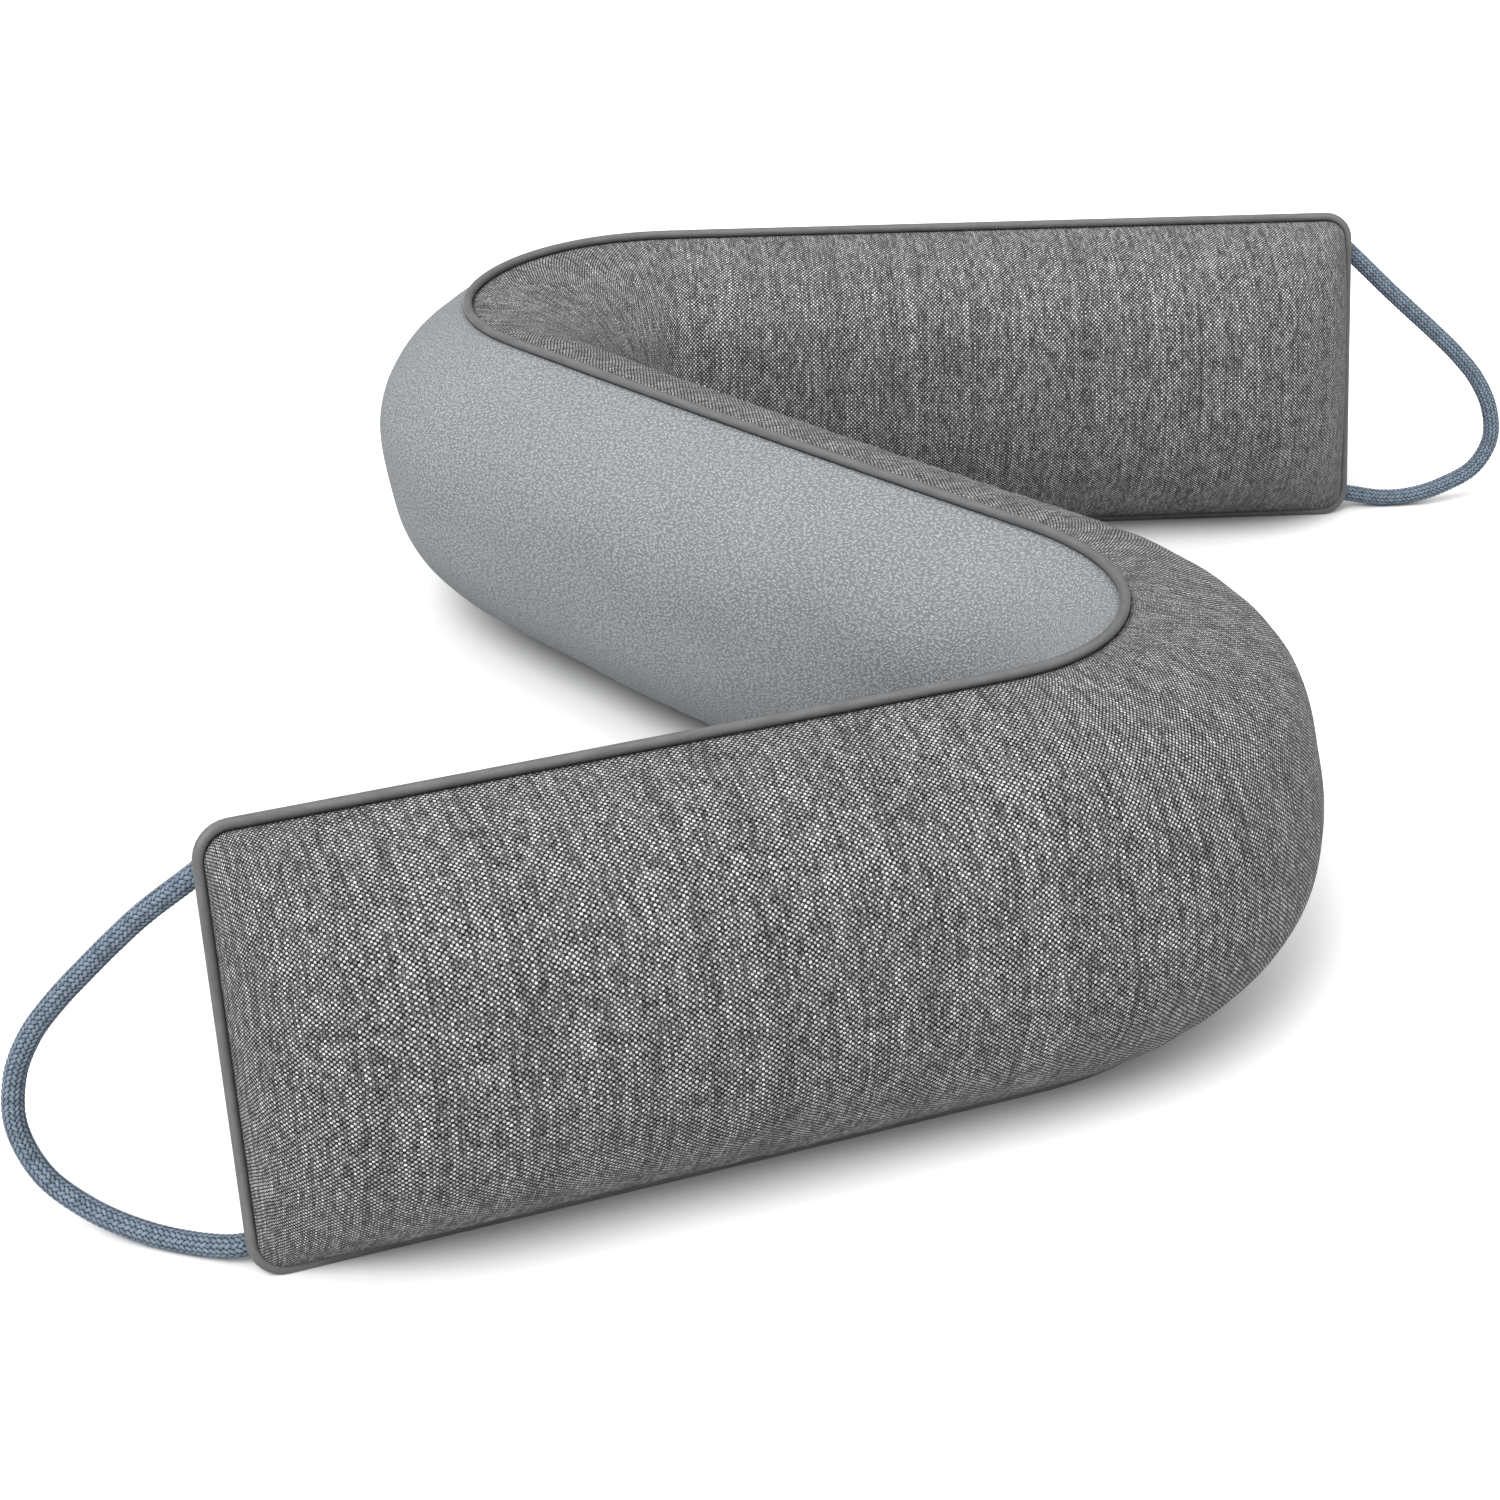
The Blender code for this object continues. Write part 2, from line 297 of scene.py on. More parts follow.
def place(station, height, side):
    """World points at stations along the seam, at heights and offsets to the back side."""
    station, height, side = np.broadcast_arrays(station, height, side)
    stations, xs, ys, headings = ROUTE
    on_seam = np.clip(station, 0.0, SEAM_LENGTH)
    heading = np.interp(on_seam, stations, headings)
    below_top = 1 - (height - PIPING_RADIUS) / (HEIGHT - 2 * PIPING_RADIUS)
    slant = END_SLANT * np.maximum(0.0, (on_seam - SLANT_FROM) / (SEAM_LENGTH - SLANT_FROM)) ** 2
    ahead = station - on_seam + slant * below_top
    back = side - np.interp(on_seam, stations, ROUTE_LEANS) * below_top
    x = np.interp(on_seam, stations, xs) + np.cos(heading) * ahead - np.sin(heading) * back
    y = np.interp(on_seam, stations, ys) + np.sin(heading) * ahead + np.cos(heading) * back
    return np.stack([x, y, height - FLAT_SINK], axis=-1)


def outline_columns(inset, step):
    """Columns of the rounded outline, inset from the piping's axis: stations, lows and highs."""
    radius = CORNER_RADIUS - inset
    angles = np.linspace(0, math.pi / 2, CORNER_COLUMNS)
    corner_stations = CORNER_RADIUS - radius * np.cos(angles)
    corner_lows = PIPING_RADIUS + CORNER_RADIUS - radius * np.sin(angles)
    count = round((SEAM_LENGTH - 2 * CORNER_RADIUS) / step)
    straight = np.linspace(CORNER_RADIUS, SEAM_LENGTH - CORNER_RADIUS, count + 1)[1:-1]
    stations = np.concatenate([corner_stations, straight, SEAM_LENGTH - corner_stations[::-1]])
    lows = np.concatenate([corner_lows, np.full(len(straight), PIPING_RADIUS + inset), corner_lows[::-1]])
    return stations, lows, HEIGHT - lows


def end_taper(station):
    """Share of the full swell at a station: none at the end seams, all past the taper."""
    distance = np.minimum(station, SEAM_LENGTH - station)
    distance = distance - GROOVE_RADIUS * math.cos(math.radians(GROOVE_ANGLES[0]))
    share = np.clip(distance / END_TAPER, 0, 1)
    return (1 - (1 - share) ** TAPER_FULLNESS) ** TAPER_SHOULDER


def crown_offset(crown, station, share):
    """Distance of a half's cloth from the seam surface, share being 0 low and 1 high."""
    edge = GROOVE_RADIUS * math.sin(math.radians(GROOVE_ANGLES[0]))
    flat = np.abs(2 * share ** crown["rise"] - 1) ** crown["fullness"]
    swell = (1 - flat) ** crown["shoulder"]
    return edge + (crown["depth"] - edge) * swell * end_taper(station)


def rope_hump(crown, stations, heights):
    """Offset that the back cloth needs to pass over the sewn-in ends of the rope loops."""
    hump = np.zeros(np.broadcast(stations, heights).shape)
    if crown["side"] < 0:
        return hump
    for route, inwards in ((LEFT_LOOP, stations), (RIGHT_LOOP, SEAM_LENGTH - stations)):
        for knots in (route[:3], route[:-4:-1]):
            depths = [-knot[0] * MM for knot in knots][::-1]
            over = np.interp(inwards, depths, [knot[1] * MM for knot in knots][::-1])
            high = np.interp(inwards, depths, [knot[2] * MM for knot in knots][::-1])
            from_rope = (heights - high) / HUMP_WIDTH
            begin = np.clip((inwards - HUMP_FROM) / HUMP_RISE, 0, 1)
            fade = np.clip((HUMP_LENGTH - inwards) / (HUMP_LENGTH / 2), 0, 1)
            reach = (over + ROPE_RADIUS + HUMP_COVER) * np.sqrt(begin) * fade ** 2 * (3 - 2 * fade)
            hump = np.maximum(hump, reach * np.exp(-from_rope ** 4))
    return hump


def make_camera():
    """Camera at the photo's place, looking along +Y and down, with its small roll."""
    camera = bpy.data.cameras.new("camera")
    camera.sensor_width = SENSOR_WIDTH
    camera.lens = FOCAL_PIXELS / PHOTO_SIZE * SENSOR_WIDTH
    camera.clip_start = NEAREST_SEEN
    camera.clip_end = FARTHEST_SEEN
    obj = bpy.data.objects.new("camera", camera)
    bpy.context.scene.collection.objects.link(obj)
    turn = Matrix.Rotation(math.pi / 2 - CAMERA_PITCH, 4, "X") @ Matrix.Rotation(CAMERA_ROLL, 4, "Z")
    obj.matrix_world = Matrix.Translation(CAMERA_PLACE) @ turn
    bpy.context.scene.camera = obj


class Graph:
    """A material's node graph, written as nested calls."""

    def __init__(self, name):
        self.material = bpy.data.materials.new(name)
        self.material.use_nodes = True
        self.tree = self.material.node_tree
        self.shader = self.tree.nodes["Principled BSDF"]

    def feed(self, socket, value):
        """Link a socket to another, or give it a plain value."""
        if isinstance(value, bpy.types.NodeSocket):
            self.tree.links.new(value, socket)
        else:
            socket.default_value = value

    def node(self, kind, inputs, output=0, **settings):
        """New node with some inputs given by name or place; returns one output."""
        node = self.tree.nodes.new(kind)
        for key, value in settings.items():
            setattr(node, key, value)
        for key, value in inputs.items():
            self.feed(node.inputs[key], value)
        return node.outputs[output]

    def maths(self, operation, *values):
        """One sum on numbers or sockets."""
        return self.node("ShaderNodeMath", dict(enumerate(values)), operation=operation)

    def ramp(self, value, low, high, to_low=0.0, to_high=1.0):
        """Smooth step of a value from one range to another."""
        inputs = {"Value": value, "From Min": low, "From Max": high, "To Min": to_low, "To Max": to_high}
        return self.node("ShaderNodeMapRange", inputs, interpolation_type="SMOOTHSTEP")

    def colours(self, share, low, high, blend="MIX"):
        """Mix of two colours."""
        inputs = {0: share, 6: low, 7: high}
        return self.node("ShaderNodeMix", inputs, output=2, data_type="RGBA", blend_type=blend)

    def noise(self, vector, scale, detail=2.0):
        """Soft noise from 0 to 1."""
        inputs = {"Vector": vector, "Scale": scale, "Detail": detail}
        return self.node("ShaderNodeTexNoise", inputs)

    def vector(self, x, y, z=0.0):
        """Coordinates from three numbers or sockets."""
        return self.node("ShaderNodeCombineXYZ", {0: x, 1: y, 2: z})

    def chance(self, vector):
        """Unrelated value from 0 to 1 for each whole-numbered place."""
        return self.node("ShaderNodeTexWhiteNoise", {"Vector": vector}, noise_dimensions="2D")

    def blend(self, share, low, high):
        """Mix of two numbers."""
        return self.node("ShaderNodeMix", {0: share, 2: low, 3: high}, data_type="FLOAT")

    def stretched(self, vector, scale, turn=0.0):
        """Coordinates turned in their plane, then scaled on each axis."""
        turned = self.node("ShaderNodeMapping", {"Vector": vector, "Rotation": (0, 0, turn)})
        return self.node("ShaderNodeMapping", {"Vector": turned, "Scale": scale})

    def crease_shaded(self, tone):
        """Tone darkened by painted shade in the crease where the cloth turns in against the piping."""
        from_rim = self.node("ShaderNodeAttribute", {}, output=2, attribute_name="from_rim")
        return self.maths("MULTIPLY", tone, self.ramp(from_rim, 0.0, PAINTED_CREASE_WIDTH, PAINTED_CREASE_SHADE, 1.0))

    def bump(self, height, strength, distance):
        """Normal raised by a height."""
        inputs = {"Height": height, "Strength": strength, "Distance": distance}
        return self.node("ShaderNodeBump", inputs)

    def varied(self, value, tones):
        """Value from 0 to 1 laid evenly between two tones."""
        return self.maths("MULTIPLY_ADD", value, tones[1] - tones[0], tones[0])

    def finish(self, colour, roughness, normal=None, sheen=0.0, specular=0.3):
        """Feed the shader and return the material."""
        self.feed(self.shader.inputs["Base Color"], colour)
        self.feed(self.shader.inputs["Roughness"], roughness)
        if normal is not None:
            self.feed(self.shader.inputs["Normal"], normal)
        self.shader.inputs["Specular IOR Level"].default_value = specular
        self.shader.inputs["Sheen Weight"].default_value = sheen
        self.shader.inputs["Sheen Roughness"].default_value = 0.4
        return self.material


def woven_cloth():
    """Plain weave of light warp and dark weft yarns, counted by the map called yarns."""
    g = Graph("heather_weave")
    yarns = g.node("ShaderNodeUVMap", {}, uv_map="yarns")
    u = g.node("ShaderNodeSeparateXYZ", {"Vector": yarns}, output=0)
    v = g.node("ShaderNodeSeparateXYZ", {"Vector": yarns}, output=1)

    # No yarn runs quite straight
    for scale, sway in YARN_SWAYS:
        aside = g.noise(g.vector(u, v, 3.0), scale, detail=1.0)
        upwards = g.noise(g.vector(u, v, 40.0), scale, detail=1.0)
        u = g.maths("MULTIPLY_ADD", g.maths("SUBTRACT", aside, 0.5), sway, u)
        v = g.maths("MULTIPLY_ADD", g.maths("SUBTRACT", upwards, 0.5), sway, v)
    warp = g.maths("FLOOR", u)
    weft = g.maths("FLOOR", v)

    # Height of either yarn: its own round back and its rise and fall over the other
    def yarn_height(across, along, number):
        from_axis = g.maths("MULTIPLY", g.maths("SUBTRACT", g.maths("FRACT", across), 0.5), 2.0)
        squared = g.maths("MULTIPLY", from_axis, from_axis)
        back = g.maths("SQRT", g.maths("SUBTRACT", 1.0, squared))
        phase = g.maths("MULTIPLY", g.maths("ADD", along, number), math.pi)
        return back, g.maths("SINE", phase)

    warp_back, warp_rise = yarn_height(u, v, warp)
    weft_back, weft_rise = yarn_height(v, u, weft)
    warp_height = g.maths("MULTIPLY_ADD", warp_rise, YARN_SWING, g.maths("ADD", warp_back, WARP_PROUD))
    weft_height = g.maths("MULTIPLY_ADD", weft_rise, -YARN_SWING, weft_back)
    height = g.maths("MAXIMUM", warp_height, weft_height)
    on_warp = g.ramp(g.maths("SUBTRACT", warp_height, weft_height), -0.15, 0.15)

    # Slubs: each yarn is lighter and darker along its run, and each crossing has its own tone
    warp_run = g.vector(g.maths("MULTIPLY", warp, YARN_APART), g.maths("MULTIPLY", v, WARP_SLUBS))
    weft_run = g.vector(g.maths("MULTIPLY", u, WEFT_SLUBS), g.maths("MULTIPLY", weft, YARN_APART), 9.0)
    warp_slub = g.noise(warp_run, 1.0, detail=1.0)
    weft_slub = g.noise(weft_run, 1.0, detail=1.0)
    crossing = g.chance(g.vector(warp, weft))
    warp_tone = g.ramp(warp_slub, 0.33, 0.65, WARP_DARK, WARP_LIGHT)
    weft_tone = g.ramp(weft_slub, 0.36, 0.64, WEFT_DARK, WEFT_LIGHT)
    own_tone = g.varied(g.chance(g.vector(warp, 0.5)), YARN_TONES)
    patch = g.ramp(g.noise(g.vector(u, v, 17.0), 0.09), 0.35, 0.65, *PATCH_TONES)

    tone = g.blend(on_warp, weft_tone, warp_tone)
    # Painted shade darkens the gaps between the yarns, the more the lower the yarns lie there
    tone = g.maths("MULTIPLY", tone, g.ramp(height, YARN_GAP_SHADE_HEIGHT, YARN_UNSHADED_HEIGHT))
    tone = g.maths("MULTIPLY", tone, own_tone)
    tone = g.maths("MULTIPLY", tone, g.varied(crossing, CROSSING_TONES))
    # Painted shade darkens the weave in the crease along the piping
    tone = g.crease_shaded(g.maths("MULTIPLY", tone, patch))
    normal = g.bump(height, 0.6, YARN_RELIEF)
    return g.finish(g.vector(tone, tone, tone), 0.9, normal, sheen=0.05, specular=0.1)


def suede_cloth():
    """Pale blue-grey suede with short raised strokes, painted lighter as glints, mapped in millimetres."""
    g = Graph("plain_suede")
    cloth = g.node("ShaderNodeUVMap", {}, uv_map="cloth")
    wander = g.ramp(g.noise(cloth, 0.16, detail=1.0), 0.42, 0.58)

    # Strokes lie one way in some places and the other way in others, with fibres over them
    strokes = []
    for turn in STROKE_TURNS:
        placed = g.stretched(cloth, STROKE_SHAPE, turn)
        inputs = {"Vector": placed, "Scale": 1.0, "Randomness": 1.0}
        from_middle = g.node("ShaderNodeTexVoronoi", inputs, voronoi_dimensions="2D")
        strokes.append(g.ramp(from_middle, 0.05, 0.50, 1.0, 0.0))
    stroke = g.blend(wander, *strokes)
    fibre = g.noise(cloth, FIBRE_FINENESS, detail=0.0)
    relief = g.maths("MULTIPLY_ADD", fibre, 0.5, g.maths("MULTIPLY", stroke, 0.5))

    cloudy = g.noise(cloth, 0.03, detail=3.0)
    # Raised strokes are painted lighter as glints and the ground between them darker as shade, over the
    # nap's own tone
    tone = g.ramp(relief, 0.10, 0.90, *SUEDE_NAP_AND_GLINT_TONES)
    # Painted shade darkens the suede in the crease along the piping
    tone = g.crease_shaded(g.maths("MULTIPLY", tone, g.ramp(cloudy, 0.2, 0.8, 0.98, 1.02)))
    tone = g.vector(tone, tone, tone)
    colour = g.colours(1.0, SUEDE_COLOUR, tone, blend="MULTIPLY")
    normal = g.bump(relief, 1.0, NAP_RELIEF)
    return g.finish(colour, 0.85, normal, sheen=0.05, specular=0.1)


def piping_satin():
    """Grey satin cut on the bias, drawn smooth round its cord."""
    g = Graph("piping_satin")
    cloth = g.node("ShaderNodeUVMap", {}, uv_map="cloth")
    bias = g.noise(g.stretched(cloth, (0.6, 5.0, 1.0), 0.8), 1.0, detail=2.0)
    rib = g.noise(g.stretched(cloth, (0.12, 0.5, 1.0)), 1.0, detail=2.0)
    tone = g.maths("MULTIPLY", g.ramp(bias, 0.3, 0.7, 0.90, 1.10), g.ramp(rib, 0.3, 0.7, 0.90, 1.10))
    tone = g.vector(tone, tone, tone)
    colour = g.colours(1.0, PIPING_COLOUR, tone, blend="MULTIPLY")
    normal = g.bump(g.maths("ADD", bias, rib), 0.35, 0.10 * MM)
    return g.finish(colour, 0.5, normal, sheen=0.05, specular=0.3)


def rope_braid():
    """Blue-grey cord: pale stitch backs, painted shade between the stitches, with fine fibres."""
    g = Graph("rope_braid")
    height = g.node("ShaderNodeAttribute", {}, output=2, attribute_name="stitch_height")
    cloth = g.node("ShaderNodeUVMap", {}, uv_map="cloth")
    fibre = g.noise(g.stretched(cloth, (4.0, 9.0, 1.0), 0.6), 1.0, detail=2.0)
    patch = g.noise(cloth, 0.5, detail=2.0)
    # Painted shade: the colour darkens from the stitch backs into the gaps between the stitches
    lit = g.maths("MULTIPLY", g.ramp(height, 0.15, 0.9), g.ramp(patch, 0.25, 0.75, 0.65, 1.25))
    colour = g.colours(lit, BRAID_GAP_SHADE, BRAID_BACKS)
    flecks = g.ramp(fibre, 0.54, 0.70, 0.0, 0.65)
    colour = g.colours(g.maths("MULTIPLY", flecks, lit), colour, BRAID_FLECKS)
    normal = g.bump(fibre, 0.5, 0.08 * MM)
    return g.finish(colour, 0.8, normal, sheen=0.05, specular=0.15)


def add_mesh(name, points, faces, material, maps):
    """Mesh piece with its maps from vertex values, shaded smooth."""
    mesh = bpy.data.meshes.new(name)
    mesh.from_pydata([tuple(point) for point in points], [], faces)
    corners = np.zeros(len(mesh.loops), np.int32)
    mesh.loops.foreach_get("vertex_index", corners)
    for map_name, values in maps.items():
        layer = mesh.uv_layers.new(name=map_name)
        layer.data.foreach_set("uv", np.asarray(values, np.float32)[corners].ravel())
    mesh.shade_smooth()
    mesh.set_sharp_from_angle(angle=SHARP_ANGLE)
    mesh.materials.append(material)
    obj = bpy.data.objects.new(name, mesh)
    bpy.context.scene.collection.objects.link(obj)
    return obj


def grid_faces(columns, rows, closed_columns=False, closed_rows=False, flip=False):
    """Quads of a grid whose vertex index is column times rows plus row."""
    faces = []
    for column in range(columns if closed_columns else columns - 1):
        here = column * rows
        after = (column + 1) % columns * rows
        for row in range(rows if closed_rows else rows - 1):
            up = (row + 1) % rows
            quad = (here + row, after + row, after + up, here + up)
            faces.append(quad[::-1] if flip else quad)
    return faces


def lumps(crown, stations, shares):
    """Small swells of the filling, none at the seams, and puckers beside the piping."""
    tall = HEIGHT - 2 * PIPING_RADIUS
    swell = np.zeros(np.broadcast(stations, shares).shape)
    for number, spacing in enumerate(LUMP_SPACINGS):
        along = 2 * math.pi * stations / spacing + number * 1.7 + crown["side"]
        upwards = math.pi * shares * (number + 1.5) + number * 0.9
        swell += LUMP_SIZE * np.sin(along + 1.3 * np.sin(upwards)) * np.cos(upwards)
    inside = end_taper(stations) * (4 * shares * (1 - shares)) ** 0.7
    from_seam = tall * np.minimum(shares, 1 - shares)
    near_seam = (from_seam / PUCKER_REACH) * np.exp(1 - from_seam / PUCKER_REACH)
    turns = 2 * math.pi * stations
    wander = 1.5 * np.sin(turns / LUMP_SPACINGS[0]) + np.sin(turns / LUMP_SPACINGS[2])
    pucker = PUCKER_SIZE * np.sin(turns / PUCKER_SPACING + wander) * near_seam
    return swell * inside + pucker * end_taper(stations)


def crowned_grid(crown, step, rows):
    """Points of a half's cloth on a grid of columns and rows, with their stations."""
    inset = GROOVE_RADIUS * math.cos(math.radians(GROOVE_ANGLES[0]))
    stations, lows, highs = outline_columns(inset, step)
    shares = (1 - np.cos(np.linspace(0, math.pi, rows))) / 2
    height = lows[:, None] + shares * (highs - lows)[:, None]
    offset = crown_offset(crown, stations[:, None], shares[None])
    hump = rope_hump(crown, stations[:, None], height)
    offset = (offset ** 4 + hump ** 4) ** 0.25 + lumps(crown, stations[:, None], shares[None])
    return place(stations[:, None], height, crown["side"] * offset), stations


def run_of(path):
    """Length along a path at each of its points."""
    return np.concatenate([[0], np.cumsum(np.linalg.norm(np.diff(path, axis=0), axis=1))])


def runs_up(points):
    """Length over the cloth from its lower edge to each point of the grid."""
    steps_up = np.linalg.norm(np.diff(points, axis=1), axis=2)
    return np.concatenate([np.zeros((len(points), 1)), np.cumsum(steps_up, axis=1)], axis=1)


def cloth_map(points):
    """Cloth measured in metres: along the longer of its belly and its rim, and between the seams."""
    up = runs_up(points)
    tall = np.median(up[:, -1])
    up = (up / up[:, -1:] - 0.5) * tall
    belly_steps = np.diff(run_of(points[:, points.shape[1] // 2]))
    rim_steps = np.diff(run_of(points[:, -1]))
    along = np.concatenate([[0], np.cumsum(np.maximum(belly_steps, rim_steps))])
    return np.repeat(along[:, None], points.shape[1], axis=1), up


def rim_distances(points):
    """Distance over the cloth from each point of the grid to the nearest seam."""
    up = runs_up(points)
    along = run_of(points[:, points.shape[1] // 2])[:, None]
    nearest = np.minimum(up, up[:, -1:] - up)
    return np.minimum(nearest, np.minimum(along, along[-1] - along))


def yarn_counts(along, up, stations):
    """Counts of warp and weft yarns over the cloth, closer together where it is drawn in."""
    drawn = np.interp(stations, (DRAWN_FROM, DRAWN_BY), (1.0, DRAWN_IN))
    counts = np.concatenate([[0], np.cumsum(np.diff(along[:, 0]) * (drawn[1:] + drawn[:-1]) / 2)])
    return np.repeat(counts[:, None], along.shape[1], axis=1) / WARP_SPACING, up / WEFT_SPACING


def build_half(name, crown, material):
    """One filled half: crowned cloth, turned in round the piping and closed on its flat side."""
    side = crown["side"]
    points, stations = crowned_grid(crown, CLOTH_STEP, CLOTH_ROWS)
    columns, rows = points.shape[:2]
    along, up = cloth_map(points)
    warp, weft = yarn_counts(along, up, stations)
    faces = grid_faces(columns, rows, flip=side > 0)

    # The rim runs along the lower edge, up the right end, back along the top and down the left
    index = np.arange(columns * rows).reshape(columns, rows)
    rim = np.concatenate([index[:-1, 0], index[-1, :-1], index[:0:-1, -1], index[0, :0:-1]])
    shares = (1 - np.cos(np.linspace(0, math.pi, rows))) / 2
    all_points = [points.reshape(-1, 3)]
    outer = rim
    for degrees in GROOVE_ANGLES[1:]:
        angle = math.radians(degrees)
        ring_stations, lows, highs = outline_columns(GROOVE_RADIUS * math.cos(angle), CLOTH_STEP)
        station = np.repeat(ring_stations[:, None], rows, axis=1)
        height = lows[:, None] + shares * (highs - lows)[:, None]
        ring = place(station, height, side * GROOVE_RADIUS * math.sin(angle)).reshape(-1, 3)[rim]
        first = sum(len(block) for block in all_points)
        all_points.append(ring)
        inner = first + np.arange(len(rim))
        for here in range(len(rim)):
            after = (here + 1) % len(rim)
            quad = (outer[here], inner[here], inner[after], outer[after])
            faces.append(tuple(int(v) for v in (quad[::-1] if side > 0 else quad)))
        outer = inner

    # The flat side joins the lower and the upper edge, column by column, and the two ends
    lower = list(outer[:columns])
    right = list(outer[columns - 1:columns + rows - 1])
    upper = list(outer[columns + rows - 2:2 * columns + rows - 2])[::-1]
    left = list(outer[2 * columns + rows - 3:]) + [outer[0]]
    flat = [(lower[c], upper[c], upper[c + 1], lower[c + 1]) for c in range(1, columns - 2)]
    flat.append(tuple(left[::-1][:0:-1]) + (lower[0], lower[1], upper[1]))
    flat.append(tuple(right) + (upper[columns - 2], lower[columns - 2]))
    faces += [tuple(int(v) for v in (quad[::-1] if side > 0 else quad)) for quad in flat]

    everything = np.concatenate(all_points)
    extend = np.concatenate([np.arange(columns * rows)] + [rim] * (len(GROOVE_ANGLES) - 1))
    cloth = np.stack([along.ravel(), up.ravel()], axis=1)[extend] / MM
    yarns = np.stack([warp.ravel(), weft.ravel()], axis=1)[extend]
    obj = add_mesh(name, everything, faces, material, {"cloth": cloth, "yarns": yarns})
    from_rim = rim_distances(points).ravel()
    # Inside the groove the cloth takes the darkest painted crease shade
    inside_groove = np.zeros(len(everything) - len(from_rim))
    layer = obj.data.attributes.new("from_rim", "FLOAT", "POINT")
    layer.data.foreach_set("value", np.concatenate([from_rim, inside_groove]).astype(np.float32))
    return obj


def closed_outline(step):
    """Piping's axis round the whole seam."""
    stations, lows, highs = outline_columns(0.0, step)
    low = place(stations, lows, 0.0)
    high = place(stations, highs, 0.0)
    end_rows = round((highs[0] - lows[0]) / step)
    heights = np.linspace(lows[0], highs[0], end_rows + 1)[1:-1]
    right = place(SEAM_LENGTH, heights, 0.0)
    left = place(0.0, heights[::-1], 0.0)
    return np.concatenate([low, right, high[::-1], left])


def frames_along(path, closed):
    """Two unit vectors across a path at each point, carried along without twist."""
    if closed:
        tangents = np.roll(path, -1, axis=0) - np.roll(path, 1, axis=0)
    else:
        tangents = np.gradient(path, axis=0)
    tangents /= np.linalg.norm(tangents, axis=1)[:, None]
    across = np.zeros_like(path)
    guide = np.cross(tangents[0], (0.0, 0.0, 1.0))
    if np.linalg.norm(guide) < 0.1:
        guide = np.cross(tangents[0], (1.0, 0.0, 0.0))
    for number, tangent in enumerate(tangents):
        guide = guide - tangent * (guide @ tangent)
        guide /= np.linalg.norm(guide)
        across[number] = guide
    if closed:
        first, last = across[0], across[-1]
        around = np.cross(tangents[0], first)
        slip = math.atan2(last @ around, last @ first)
        angles = -slip * np.arange(len(path)) / len(path)
        side = np.cross(tangents, across)
        across = across * np.cos(angles)[:, None] + side * np.sin(angles)[:, None]
    return across, np.cross(tangents, across)


def build_piping(material):
    """Piping ring, pressed flat where its lower run lies on the floor."""
    path = closed_outline(PIPING_STEP)
    across, beside = frames_along(path, closed=True)
    angles = np.linspace(0, 2 * math.pi, PIPING_SIDES, endpoint=False)
    ring = across[:, None] * np.cos(angles)[None, :, None] + beside[:, None] * np.sin(angles)[None, :, None]
    points = path[:, None] + PIPING_RADIUS * ring
    points[..., 2] = np.maximum(points[..., 2], 0.0)
    faces = grid_faces(len(path), PIPING_SIDES, closed_columns=True, closed_rows=True)
    run = run_of(path)
    around = np.abs(np.linspace(-1, 1, PIPING_SIDES, endpoint=False)) * math.pi * PIPING_RADIUS
    cloth = np.stack(np.broadcast_arrays(run[:, None], around[None]), axis=-1).reshape(-1, 2) / MM
    return add_mesh("piping_cloth", points.reshape(-1, 3), faces, material, {"cloth": cloth})


def loop_points(route, left_end, count):
    """Smooth evenly spaced points of a rope loop through its route."""
    knots = []
    for out, side, height in route:
        station = -out * MM if left_end else SEAM_LENGTH + out * MM
        knots.append(place(station, height * MM, side * MM))
    knots = [2 * knots[0] - knots[1]] + knots + [2 * knots[-1] - knots[-2]]
    fine = []
    for before, here, ahead, after in zip(knots, knots[1:], knots[2:], knots[3:]):
        for t in np.arange(KNOT_STEPS) / KNOT_STEPS:
            bend = 2 * before - 5 * here + 4 * ahead - after
            twist = 3 * here - before - 3 * ahead + after
            fine.append(here + ((ahead - before) * t + bend * t ** 2 + twist * t ** 3) / 2)
    fine.append(knots[-2])
    path = np.array(fine)
    run = run_of(path)
    wanted = np.linspace(0, run[-1], count)
    return np.stack([np.interp(wanted, run, path[:, axis]) for axis in range(3)], axis=1)


def stitch_heights(run, angles):
    """Height of the braid from 0 to 1 on a grid along and round the rope."""
    column_width = 2 * math.pi * ROPE_RADIUS / BRAID_COLUMNS
    around = angles / (2 * math.pi) * BRAID_COLUMNS
    best = np.zeros((len(run), len(angles)))
    for neighbour in (-1, 0, 1):
        column = np.floor(around) + neighbour
        odd = np.mod(column, 2)
        across = (around - column - 0.5) * column_width
        along = run[:, None] - odd[None] * BRAID_PITCH / 2
        slant = np.where(odd > 0, 1.0, -1.0) * STITCH_SLANT
        for step in (-1, 0, 1):
            from_centre = np.mod(along, BRAID_PITCH) - BRAID_PITCH / 2 + step * BRAID_PITCH
            length_way = from_centre * np.cos(slant) + across * np.sin(slant)
            width_way = across * np.cos(slant) - from_centre * np.sin(slant)
            bulge = 1 - (length_way / STITCH_LENGTH) ** 2 - (width_way / STITCH_WIDTH) ** 2
            best = np.maximum(best, np.sqrt(np.maximum(bulge, 0)))
    return best


